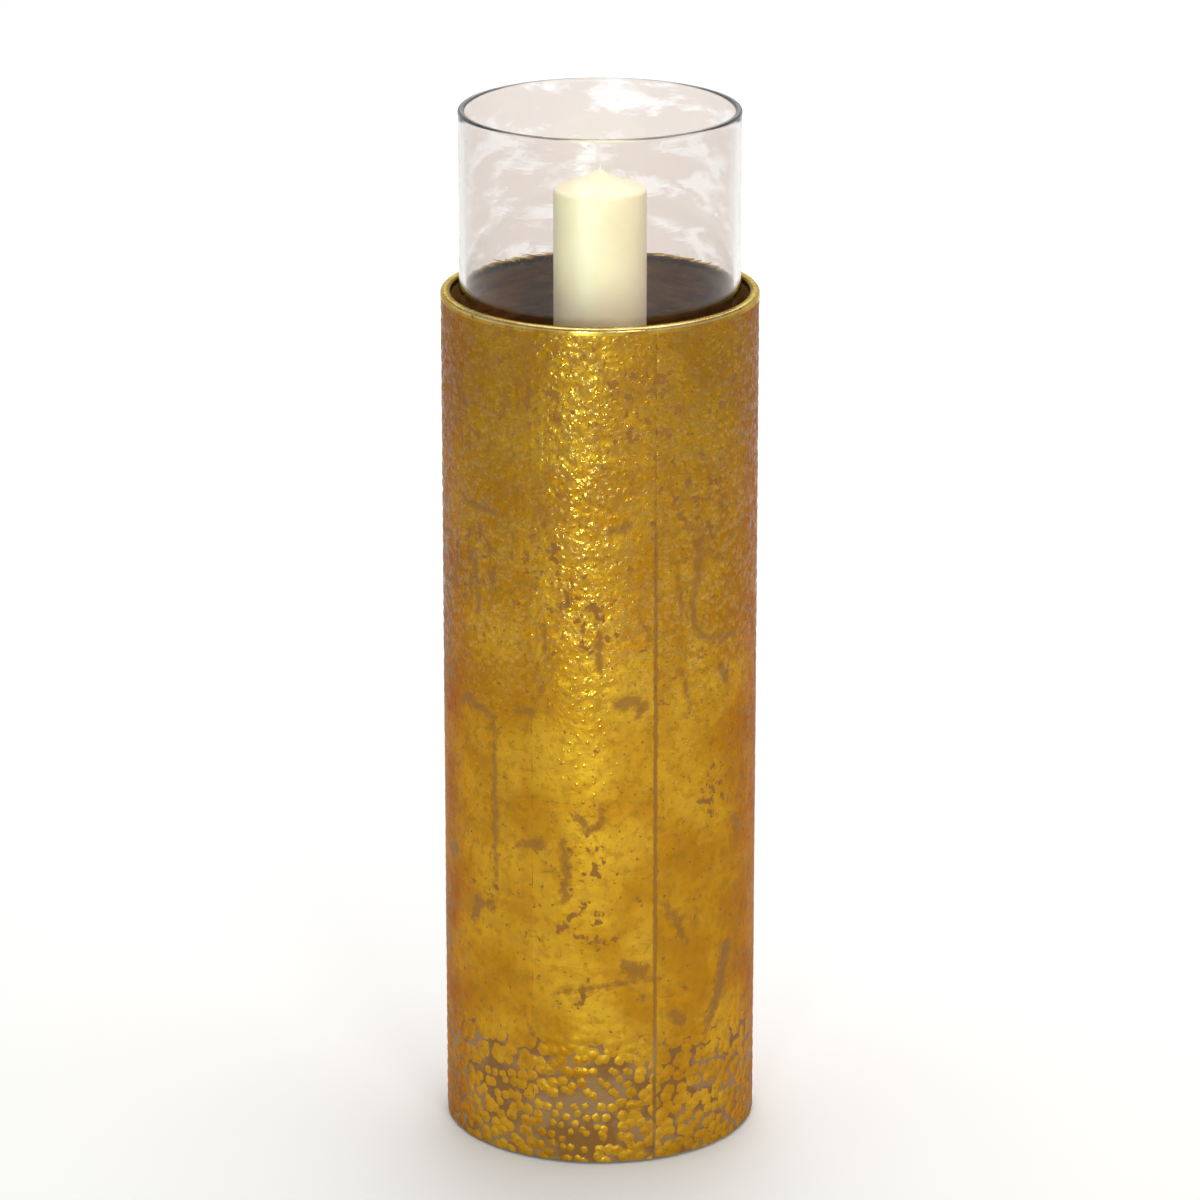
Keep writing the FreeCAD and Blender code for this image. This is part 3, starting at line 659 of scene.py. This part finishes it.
def turned(name, outline, material, around=256, closed=True):
    """Turns an outline about Z, anticlockwise with the radius to the right, into a mesh piece.

    An open outline starts and ends on the axis, where its faces meet in a point."""
    angles = np.linspace(0, 2 * math.pi, around, endpoint=False)
    ring = outline if closed else outline[1:-1]
    r, z = ring[:, 0], ring[:, 1]
    spots = np.stack(
        [np.outer(np.cos(angles), r), np.outer(np.sin(angles), r), np.tile(z, (around, 1))], axis=-1
    ).reshape(-1, 3)
    count = len(ring)
    i, j = np.meshgrid(np.arange(around), np.arange(count if closed else count - 1), indexing="ij")
    here, there = i * count, (i + 1) % around * count
    up = (j + 1) % count
    faces = np.stack([here + j, there + j, there + up, here + up], axis=-1).reshape(-1, 4).tolist()
    spots = spots.tolist()
    if not closed:
        low, high = len(spots), len(spots) + 1
        spots += [[0, 0, outline[0, 1]], [0, 0, outline[-1, 1]]]
        for k in range(around):
            after = (k + 1) % around
            faces.append([low, after * count, k * count])
            faces.append([high, k * count + count - 1, after * count + count - 1])
    mesh = bpy.data.meshes.new(name)
    mesh.from_pydata(spots, [], faces)
    mesh.materials.append(material)
    mesh.polygons.foreach_set("use_smooth", [True] * len(mesh.polygons))
    mesh.update()
    return place_in_scene(name, mesh)


def crease(piece, degrees=40.0):
    """Keeps the edges sharper than that angle crisp under smooth shading."""
    piece.data.set_sharp_from_angle(angle=math.radians(degrees))


rim_low, rim_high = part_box("rim_ring")
well_low, well_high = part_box("well_wall")
WELL_SHEET = 0.0012
RIM_INNER = well_high.x - WELL_SHEET
RIM_OUTER = DRUM_RADIUS
RIM_ROUND, RIM_INNER_ROUND = 0.0026, 0.0018

rim_leaf, tree, shader = new_finish(
    "burnished_brass_leaf",
    {
        "Metallic": 1.0,
        "Specular Tint": linear("#D8C88C"),
        "Coat Weight": 0.3,
        "Coat Roughness": 0.12,
        "Coat IOR": 1.5,
    },
)
place = add(tree, "ShaderNodeTexCoord").outputs["Object"]
cloud = add(tree, "ShaderNodeTexNoise", {"Vector": place, "Scale": 1 / 0.02, "Detail": 4.0})
grain = add(tree, "ShaderNodeTexNoise", {"Vector": place, "Scale": 1 / 0.004, "Detail": 3.0})
height = add(tree, "ShaderNodeSeparateXYZ", {0: place}).outputs["Z"]
crown = add(tree, RANGE, (height, rim_high.z - 0.0036, rim_high.z - 0.0016), **EASED)
cloudy = add(tree, RANGE, (cloud, 0.35, 0.65), **EASED)
face_colour = add(tree, MIX, {0: cloudy, 6: linear("#A87A22"), 7: linear("#C8A036")}, **COLOUR)
crown_colour = add(tree, MIX, {0: cloudy, 6: linear("#C0A25C"), 7: linear("#D6BE80")}, **COLOUR)
leaf_colour = add(tree, MIX, {0: crown, 6: face_colour, 7: crown_colour}, **COLOUR)
reach = add(tree, "ShaderNodeVectorMath", {0: place, 1: (1.0, 1.0, 0.0)}, operation="MULTIPLY")
reach = add(tree, "ShaderNodeVectorMath", {0: reach}, operation="LENGTH")
reach = add(tree, MATH, (cloud, 0.002, reach), operation="MULTIPLY_ADD")
overspray = add(tree, RANGE, (reach, RIM_INNER + 0.0020, RIM_INNER + 0.0052, 0.9, 0.0), **EASED)
leaf_colour = add(tree, MIX, {0: overspray, 6: leaf_colour, 7: linear("#5C4724")}, **COLOUR)
spots = add(tree, RANGE, (grain, 0.66, 0.70), **EASED)
leaf_colour = add(tree, MIX, {0: spots, 6: leaf_colour, 7: linear("#8A6450")}, **COLOUR)
rough = add(tree, RANGE, (grain, 0.3, 0.7, 0.16, 0.30), **EASED)
soft = add(tree, "ShaderNodeBump", {"Height": grain, "Strength": 0.25, "Distance": 0.0004})
feed(tree, shader, {"Base Color": leaf_colour, "Roughness": rough, "Normal": soft})

rim_corners = [
    (RIM_INNER, rim_low.z, 0),
    (RIM_OUTER, rim_low.z, 0),
    (RIM_OUTER, rim_high.z, RIM_ROUND),
    (RIM_INNER, rim_high.z, RIM_INNER_ROUND),
]
rim_ring = turned("rim_ring_leafed", rounded_outline(rim_corners, 8), rim_leaf, around=320)
crease(rim_ring)
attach(rim_ring, "drum")
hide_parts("rim_ring")


# ================================================================ well
# A thin sleeve and a disc sunk into the drum's top, brush-painted dark brown in satin enamel after
# the gilding, so a breath of gold stays just under the rim. Four blackened countersunk screws hold
# the disc to its brackets.
enamel, tree, shader = new_finish("brushed_brown_enamel", {"Specular IOR Level": 0.25})
place = add(tree, "ShaderNodeTexCoord").outputs["Object"]
long_way = add(tree, "ShaderNodeMapping", {"Vector": place, "Scale": (1.0, 1.0, 9.0)})
strokes = add(tree, "ShaderNodeTexNoise", {"Vector": long_way, "Scale": 1 / 0.03, "Detail": 5.0})
height = add(tree, "ShaderNodeSeparateXYZ", {0: place}).outputs["Z"]
brown = add(tree, RANGE, (strokes, 0.35, 0.65), **EASED)
brown = add(tree, MIX, {0: brown, 6: linear("#583610"), 7: linear("#845C26")}, **COLOUR)
gilt_edge = add(tree, MATH, (strokes, 0.006, height), operation="MULTIPLY_ADD")
gilt = add(tree, RANGE, (gilt_edge, well_high.z - 0.006, well_high.z + 0.003), **EASED)
brown = add(tree, MIX, {0: gilt, 6: brown, 7: linear("#6A5426")}, **COLOUR)
rough = add(tree, RANGE, (strokes, 0.3, 0.7, 0.40, 0.58), **EASED)
relief = add(tree, "ShaderNodeBump", {"Height": strokes, "Strength": 0.6, "Distance": 0.0014})
feed(tree, shader, {"Base Color": brown, "Roughness": rough, "Normal": relief})

wall_corners = [
    (RIM_INNER, well_low.z, 0),
    (RIM_INNER + WELL_SHEET, well_low.z, 0),
    (RIM_INNER + WELL_SHEET, well_high.z, 0),
    (RIM_INNER, well_high.z, 0),
]
well_wall = turned("well_sleeve", rounded_outline(wall_corners), enamel, around=320)
crease(well_wall)
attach(well_wall, "drum")
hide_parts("well_wall")
dress("well_floor", enamel)


def clouded(name, surface, cloud, edges, colours, roughness, grain=None):
    """A finish whose colour and roughness drift together in clouds, over a fine grain if given."""
    material, tree, shader = new_finish(name, surface)
    place = add(tree, "ShaderNodeTexCoord").outputs["Object"]
    size, detail = cloud
    drift = add(tree, "ShaderNodeTexNoise", {"Vector": place, "Scale": 1 / size, "Detail": detail})
    drift = add(tree, RANGE, (drift, *edges), **EASED)
    dark, light = colours
    colour = add(tree, MIX, {0: drift, 6: linear(dark), 7: linear(light)}, **COLOUR)
    rough = add(tree, RANGE, (drift, 0.0, 1.0, *roughness), **EASED)
    feed(tree, shader, {"Base Color": colour, "Roughness": rough})
    if grain:
        size, detail, strength = grain
        skin = add(tree, "ShaderNodeTexNoise", {"Vector": place, "Scale": 1 / size, "Detail": detail})
        skin = add(tree, "ShaderNodeBump", {"Height": skin, "Strength": strength, "Distance": 0.0001})
        feed(tree, shader, {"Normal": skin})
    return material


def cross_recess(screw, top, direction, depth, arm=0.0022, width=0.0011):
    """Cuts a tapered cross for the driver into a screw's head."""
    cutter = bmesh.new()
    floor_at, mouth_at = top - direction * depth, top + direction * 0.0004
    for turn in (0.0, math.pi / 2):
        corners = []
        for level, spread in ((floor_at, 0.45), (mouth_at, 1.12)):
            for across, along in ((-1, -1), (1, -1), (1, 1), (-1, 1)):
                x, y = across * arm * spread, along * width / 2 * (0.6 + 0.4 * spread)
                spot = (x * math.cos(turn) - y * math.sin(turn), x * math.sin(turn) + y * math.cos(turn))
                corners.append(cutter.verts.new((*spot, level)))
        for face in ((0, 1, 2, 3), (4, 5, 6, 7), (0, 1, 5, 4), (1, 2, 6, 5), (2, 3, 7, 6), (3, 0, 4, 7)):
            cutter.faces.new([corners[n] for n in face])
    bmesh.ops.recalc_face_normals(cutter, faces=cutter.faces)
    cut_mesh = bpy.data.meshes.new("driver_cross")
    cutter.to_mesh(cut_mesh)
    cutter.free()
    cross = place_in_scene("driver_cross", cut_mesh)
    cut = screw.modifiers.new("recess", "BOOLEAN")
    cut.operation, cut.solver, cut.use_self = "DIFFERENCE", "EXACT", True
    cut.object = cross
    graph = bpy.context.evaluated_depsgraph_get()
    screw.data = bpy.data.meshes.new_from_object(screw.evaluated_get(graph))
    screw.modifiers.remove(cut)
    bpy.data.objects.remove(cross)


def screw_ring(name):
    """The tree that sets one screw round a circle, each turned its own way in its hole."""
    tree = bpy.data.node_groups.new(name, "GeometryNodeTree")
    tree.interface.new_socket("Geometry", in_out="OUTPUT", socket_type="NodeSocketGeometry")
    for size in ("Circle", "First"):
        tree.interface.new_socket(size, in_out="INPUT", socket_type="NodeSocketFloat")
    tree.interface.new_socket("Count", in_out="INPUT", socket_type="NodeSocketInt")
    tree.interface.new_socket("Screw", in_out="INPUT", socket_type="NodeSocketObject")
    given = add(tree, "NodeGroupInput").outputs
    holes = add(tree, "GeometryNodeMeshCircle", {"Vertices": given["Count"], "Radius": given["Circle"]})
    turned_holes = add(
        tree,
        "GeometryNodeTransform",
        {"Geometry": holes, "Rotation": add(tree, "ShaderNodeCombineXYZ", {"Z": given["First"]})},
    )
    spin = add(
        tree,
        "FunctionNodeRandomValue",
        {"Min": (0.0, 0.0, 0.0), "Max": (0.0, 0.0, math.pi), "Seed": 5},
        data_type="FLOAT_VECTOR",
    )
    screw = add(tree, "GeometryNodeObjectInfo", {"Object": given["Screw"]}).outputs["Geometry"]
    placed = add(
        tree,
        "GeometryNodeInstanceOnPoints",
        {"Points": turned_holes, "Instance": screw, "Rotation": spin},
    )
    end_tree(tree, placed)
    return tree


SCREW_CLOUD, SCREW_EDGES, SCREW_ROUGHNESS = (0.0015, 3.0), (0.35, 0.65), (0.28, 0.46)
black_oxide = clouded(
    "black_oxide_steel",
    {"Metallic": 0.8},
    SCREW_CLOUD,
    SCREW_EDGES,
    ("#1F1C1A", "#3A3531"),
    SCREW_ROUGHNESS,
)
screw_low, screw_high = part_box("well_screws")
WELL_SCREW_HEAD, WELL_SCREW_SHANK = 0.0040, 0.00195
WELL_SCREW_CIRCLE = math.hypot(screw_high.x - WELL_SCREW_HEAD, screw_high.y - WELL_SCREW_HEAD)
countersunk = np.array(
    [
        (0, screw_low.z),
        (WELL_SCREW_SHANK * 0.8, screw_low.z),
        (WELL_SCREW_SHANK, screw_low.z + 0.0004),
        (WELL_SCREW_SHANK, screw_high.z - WELL_SCREW_HEAD + WELL_SCREW_SHANK),
        (WELL_SCREW_HEAD - 0.0002, screw_high.z - 0.0002),
        (WELL_SCREW_HEAD - 0.0003, screw_high.z),
        (0, screw_high.z),
    ]
)
well_screw = turned("well_screw", countersunk, black_oxide, around=40, closed=False)
cross_recess(well_screw, screw_high.z, 1, 0.0017)
well_screws = grown(
    "well_screws_fitted",
    screw_ring("well_screw_ring"),
    {"Circle": WELL_SCREW_CIRCLE, "First": math.pi / 4, "Count": 4, "Screw": well_screw},
    black_oxide,
)
bpy.data.objects.remove(well_screw)
crease(well_screws, 30)
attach(well_screws, "drum")
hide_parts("well_screws")


# ================================================================ base
# A steel disc, black powder coated with the usual fine orange peel, held up inside the drum's foot
# by six zinc-plated pan-head screws. Four moulded rubber pads, a little dusty, carry the weight.
powder_coat = clouded(
    "black_powder_coat",
    {"IOR": 1.5},
    (0.03, 6.0),
    (0.45, 0.75),
    ("#1B1B1C", "#343332"),
    (0.42, 0.6),
    (0.0014, 2.0, 0.4),
)
dress("base_plate", powder_coat)

zinc = clouded(
    "zinc_plated_steel",
    {"Metallic": 1.0},
    SCREW_CLOUD,
    SCREW_EDGES,
    ("#A7A9A6", "#C6C8C2"),
    SCREW_ROUGHNESS,
)
plate_low, plate_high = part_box("base_plate")
screw_low, screw_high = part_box("base_screws")
PAN_HEAD, PAN_SHANK = 0.0040, 0.00195
pan_outline = rounded_outline(
    [
        (0, screw_low.z, 0),
        (PAN_HEAD, screw_low.z, 0.0013),
        (PAN_HEAD, plate_low.z, 0),
        (PAN_SHANK, plate_low.z, 0),
        (PAN_SHANK, screw_high.z - 0.0004, 0),
        (PAN_SHANK * 0.8, screw_high.z, 0),
        (0, screw_high.z, 0),
    ]
)
base_screw = turned("base_screw", pan_outline, zinc, around=40, closed=False)
cross_recess(base_screw, screw_low.z, -1, 0.0013)
base_screws = grown(
    "base_screws_fitted",
    screw_ring("base_screw_ring"),
    {"Circle": screw_high.x - PAN_HEAD, "First": 0.0, "Count": 6, "Screw": base_screw},
    zinc,
)
bpy.data.objects.remove(base_screw)
crease(base_screws, 30)
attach(base_screws, "drum")
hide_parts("base_screws")

rubber = clouded(
    "moulded_rubber",
    {"IOR": 1.5},
    (0.006, 4.0),
    (0.4, 0.7),
    ("#232221", "#3B3937"),
    (0.62, 0.85),
    (0.0006, 3.0, 0.5),
)
for name in sorted(nodes):
    if name.startswith("foot_pad"):
        dress(name, rubber)


# ================================================================ glass cylinder
# Soda-lime glass drawn by hand, so its wall wavers and carries long streaks and a few seeds. It is
# open at both ends, its upper edges fire-polished round and its foot ground, and stands loose.
glass_low, glass_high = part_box("glass_cylinder")
GLASS_OUTER = glass_high.x - 0.00005
GLASS_WALL = 0.005
FIRE_POLISH, GROUND_EDGE = 0.0022, 0.0010
WAVER = 0.00018

clear_glass, tree, shader = new_finish(
    "hand_drawn_soda_lime_glass",
    {"Transmission Weight": 1.0, "IOR": 1.5, "Roughness": 0.0, "Base Color": linear("#F7F3EF")},
)
place = add(tree, "ShaderNodeTexCoord").outputs["Object"]
drawn = add(tree, "ShaderNodeMapping", {"Vector": place, "Scale": (1.0, 1.0, 3.2)})
cloud = add(
    tree,
    "ShaderNodeTexNoise",
    {"Vector": drawn, "Scale": 1 / 0.055, "Detail": 8.0, "Roughness": 0.70, "Distortion": 0.3},
)
spread = add(tree, "ShaderNodeSeparateXYZ", {0: place}).outputs
# Painted reflection: only the back half of the wall gets a beige mottle, which stands in for room light
# reflected in the glass; the front half stays clear.
behind = add(tree, RANGE, (spread["Y"], -0.03, 0.03), **EASED)
painted_reflection = add(tree, RANGE, (cloud, 0.43, 0.50), **EASED)
painted_reflection = add(tree, MATH, (painted_reflection, behind), operation="MULTIPLY")
tint = add(tree, MIX, {0: painted_reflection, 6: linear("#F6F3F1"), 7: linear("#E4DAD3")}, **COLOUR)
lip = add(tree, RANGE, (spread["Z"], glass_high.z - 0.004, glass_high.z - 0.001, 0.0, 0.30), **EASED)
ripple_way = add(tree, "ShaderNodeMapping", {"Vector": place, "Scale": (1.0, 1.0, 7.0)})
ripple = add(
    tree,
    "ShaderNodeTexNoise",
    {"Vector": ripple_way, "Scale": 1 / 0.028, "Detail": 2.0, "Distortion": 0.3},
)
rippled = add(tree, "ShaderNodeBump", {"Height": ripple, "Strength": 1.0, "Distance": 0.00006})
feed(tree, shader, {"Base Color": tint, "Roughness": lip, "Normal": rippled})
shadow_ray = add(tree, "ShaderNodeLightPath").outputs["Is Shadow Ray"]
see_through = add(tree, "ShaderNodeBsdfTransparent", {0: linear("#F0EEEA")})
either = add(tree, "ShaderNodeMixShader", {0: shadow_ray, 1: shader, 2: see_through})
feed(tree, tree.nodes["Material Output"], {"Surface": either})

wall_heights = [glass_low.z + 0.004 + n * 0.004 for n in range(48)]
outline = rounded_outline(
    [
        (GLASS_OUTER - GLASS_WALL, glass_low.z, GROUND_EDGE),
        (GLASS_OUTER, glass_low.z, GROUND_EDGE),
        *((GLASS_OUTER, z, 0) for z in wall_heights),
        (GLASS_OUTER, glass_high.z, FIRE_POLISH),
        (GLASS_OUTER - GLASS_WALL, glass_high.z, FIRE_POLISH),
        *((GLASS_OUTER - GLASS_WALL, z, 0) for z in reversed(wall_heights)),
    ],
    8,
)
glass = turned("glass_tube", outline, clear_glass, around=288)
# The wall's waver: slow swells round and up the tube, nearly the same inside and out, so that
# what stands behind stays true while reflections wander. The foot and the lip stay true.
at = spots_of(glass.data)
turn, reach, climb = np.arctan2(at[:, 1], at[:, 0]), np.hypot(at[:, 0], at[:, 1]), at[:, 2]
outside = reach > GLASS_OUTER - GLASS_WALL / 2
draw = np.random.default_rng(7)
swell = np.zeros(len(at))
for waves, length in ((2, 0.24), (3, 0.11), (5, 0.06), (4, 0.031), (7, 0.019), (9, 0.013)):
    for share in (1.0, 0.06 * outside):
        start = draw.uniform(0, 2 * math.pi, 2)
        rings = np.sin(waves * turn + start[0] + 2 * math.pi * climb / length)
        rings += np.sin(2 * math.pi * climb / length * 1.3 - waves * turn + start[1])
        swell += share * rings * (length / 0.24) ** 1.2
fade = np.clip((climb - glass_low.z) / 0.02, 0, 1) * np.clip((glass_high.z - climb) / 0.01, 0, 1)
swell = (swell - swell.max()) / (swell.max() - swell.min()) * WAVER * fade
at[:, :2] *= (1 + swell / reach)[:, None]
glass.data.vertices.foreach_set("co", at.astype(np.float32).ravel())
glass.data.update()
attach(glass, "glass")
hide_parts("glass_cylinder")


# ================================================================ candle
# A pressed paraffin pillar, a low cone on its top with a nipple round the wick. The wax lets light
# in a little way, is dull on its sides and has faint press marks; the wick is plaited cotton.
wax_low, wax_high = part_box("candle_wax")
WAX_RADIUS = wax_high.x - 0.00002
WICK_BORE = 0.0012
SHOULDER = wax_low.z + 0.139

wax, tree, shader = new_finish(
    "pressed_paraffin_wax",
    {
        "IOR": 1.44,
        "Subsurface Weight": 0.6,
        "Subsurface Radius": (1.0, 0.72, 0.45),
        "Subsurface Scale": 0.006,
        "Coat Weight": 0.12,
        "Coat Roughness": 0.35,
    },
)
place = add(tree, "ShaderNodeTexCoord").outputs["Object"]
cloud = add(tree, "ShaderNodeTexNoise", {"Vector": place, "Scale": 1 / 0.03, "Detail": 4.0})
bloom = add(tree, "ShaderNodeTexNoise", {"Vector": place, "Scale": 1 / 0.0025, "Detail": 4.0})
cloud = add(tree, RANGE, (cloud, 0.3, 0.7), **EASED)
colour = add(tree, MIX, {0: cloud, 6: linear("#F0E1C0"), 7: linear("#F4E7C8")}, **COLOUR)
pale = add(tree, RANGE, (bloom, 0.58, 0.75, 0.0, 0.35), **EASED)
colour = add(tree, MIX, {0: pale, 6: colour, 7: linear("#F9F5EA")}, **COLOUR)
rough = add(tree, RANGE, (bloom, 0.3, 0.7, 0.38, 0.55), **EASED)
dull = add(tree, "ShaderNodeBump", {"Height": bloom, "Strength": 0.25, "Distance": 0.0004})
feed(tree, shader, {"Base Color": colour, "Roughness": rough, "Normal": dull})

wax_outline = rounded_outline(
    [
        (WICK_BORE, wax_low.z, 0),
        (WAX_RADIUS, wax_low.z, 0.0008),
        *((WAX_RADIUS, wax_low.z + 0.012 * n, 0) for n in range(1, 11)),
        (WAX_RADIUS, SHOULDER + 0.0002, 0.0030),
        (0.0170, SHOULDER + 0.0064, 0.04),
        (0.0062, SHOULDER + 0.0118, 0.008),
        (0.0036, wax_high.z - 0.0003, 0.002),
        (0.0020, wax_high.z, 0.0006),
        (WICK_BORE, wax_high.z - 0.0012, 0),
    ],
    5,
)
candle = turned("candle_pillar", wax_outline, wax, around=160)
crease(candle, 50)
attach(candle, "candle")
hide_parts("candle_wax")

wick_low, wick_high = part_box("candle_wick")
cotton, tree, shader = new_finish(
    "plaited_cotton", {"Roughness": 0.9, "Sheen Weight": 0.3, "Sheen Roughness": 0.5}
)
place = add(tree, "ShaderNodeTexCoord").outputs["Object"]
fibre = add(tree, "ShaderNodeTexNoise", {"Vector": place, "Scale": 1 / 0.0004, "Detail": 3.0})
colour = add(tree, MIX, {0: fibre, 6: linear("#E4DCC8"), 7: linear("#F8F4E8")}, **COLOUR)
rough = add(tree, RANGE, (fibre, 0.3, 0.7, 0.8, 0.95), **EASED)
feed(tree, shader, {"Base Color": colour, "Roughness": rough})
steps = np.linspace(wick_low.z + 0.0001, wick_high.z - 0.0004, 260)
cord_outline = np.array(
    [(0, wick_low.z), *((wick_high.x - 0.00002, z) for z in steps), (0, wick_high.z)]
)
wick = turned("plaited_wick", cord_outline, cotton, around=24, closed=False)
PLAIT = 0.0026
at = spots_of(wick.data)
turn = np.arctan2(at[:, 1], at[:, 0])
lay = 2 * math.pi * at[:, 2] / PLAIT
over = np.maximum(np.cos(2 * turn + lay), np.cos(2 * turn - lay))
tip = np.clip((wick_high.z - at[:, 2]) / 0.0012, 0, 1)
at[:, :2] *= ((0.80 + 0.20 * over) * (0.75 + 0.25 * tip))[:, None]
wick.data.vertices.foreach_set("co", at.astype(np.float32).ravel())
wick.data.update()
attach(wick, "candle")
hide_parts("candle_wick")


# ================================================================ studio
# A pale matt floor under a bright haze that dims overhead. One large soft light hangs behind the
# object, a small one stands front right, and a tall window-like one stands front left.
def aim(thing, target):
    """Turns a light or camera to face a point."""
    thing.rotation_euler = (Vector(target) - thing.location).to_track_quat("-Z", "Y").to_euler()


FLOOR_SIZE = 30.0
floor_grid = bmesh.new()
bmesh.ops.create_grid(floor_grid, x_segments=2, y_segments=2, size=FLOOR_SIZE / 2)
floor_mesh = bpy.data.meshes.new("studio_floor")
floor_grid.to_mesh(floor_mesh)
floor_grid.free()
floor = place_in_scene("studio_floor", floor_mesh)
floor_paint, tree, shader = new_finish(
    "matt_white_paint", {"Base Color": linear("#F8F8F8"), "Roughness": 0.9, "Specular IOR Level": 0.1}
)
floor_mesh.materials.append(floor_paint)

world = bpy.data.worlds.new("studio_air")
world.use_nodes = True
air = world.node_tree
sky = air.nodes["Background"]
up = add(air, "ShaderNodeTexCoord").outputs["Generated"]
up = add(air, "ShaderNodeSeparateXYZ", {0: up}).outputs["Z"]
haze = add(air, RANGE, (up, 0.02, 0.55, 1.0, 0.40), **EASED)
feed(air, sky, {"Color": linear("#FCFBFA"), "Strength": haze})
bpy.context.scene.world = world

LIGHTS = [
    ("overhead", (0.2, 2.9, 3.0), (0.2, 2.9, 0.0), 2.2, 6.8, 128, "#FFFFFF"),
    ("key_softbox", (1.2, -3.3, 1.6), (0, 0, 0.6), 1.0, 1.0, 27, "#FFFAEE"),
    ("window", (-0.73, -3.42, 0.57), (0, 0, 0.40), 0.18, 0.84, 32, "#D8FBEC"),
]
for name, spot, target, wide, tall, power, hue in LIGHTS:
    lamp = bpy.data.lights.new(name, "AREA")
    lamp.shape, lamp.size, lamp.size_y, lamp.energy = "RECTANGLE", wide, tall, power
    lamp.color = linear(hue)[:3]
    light = place_in_scene(name, lamp)
    light.location = spot
    aim(light, target)
    light.visible_camera = False

camera_data = bpy.data.cameras.new("camera")
camera_data.sensor_width, camera_data.lens = 36.0, 166.4
camera = place_in_scene("camera", camera_data)
camera.location = (0.0, -4.0332, 1.7151)
camera.rotation_euler = (math.radians(90 - 17.854), 0.0, 0.0)
bpy.context.scene.camera = camera
bpy.context.scene.view_settings.view_transform = "Standard"
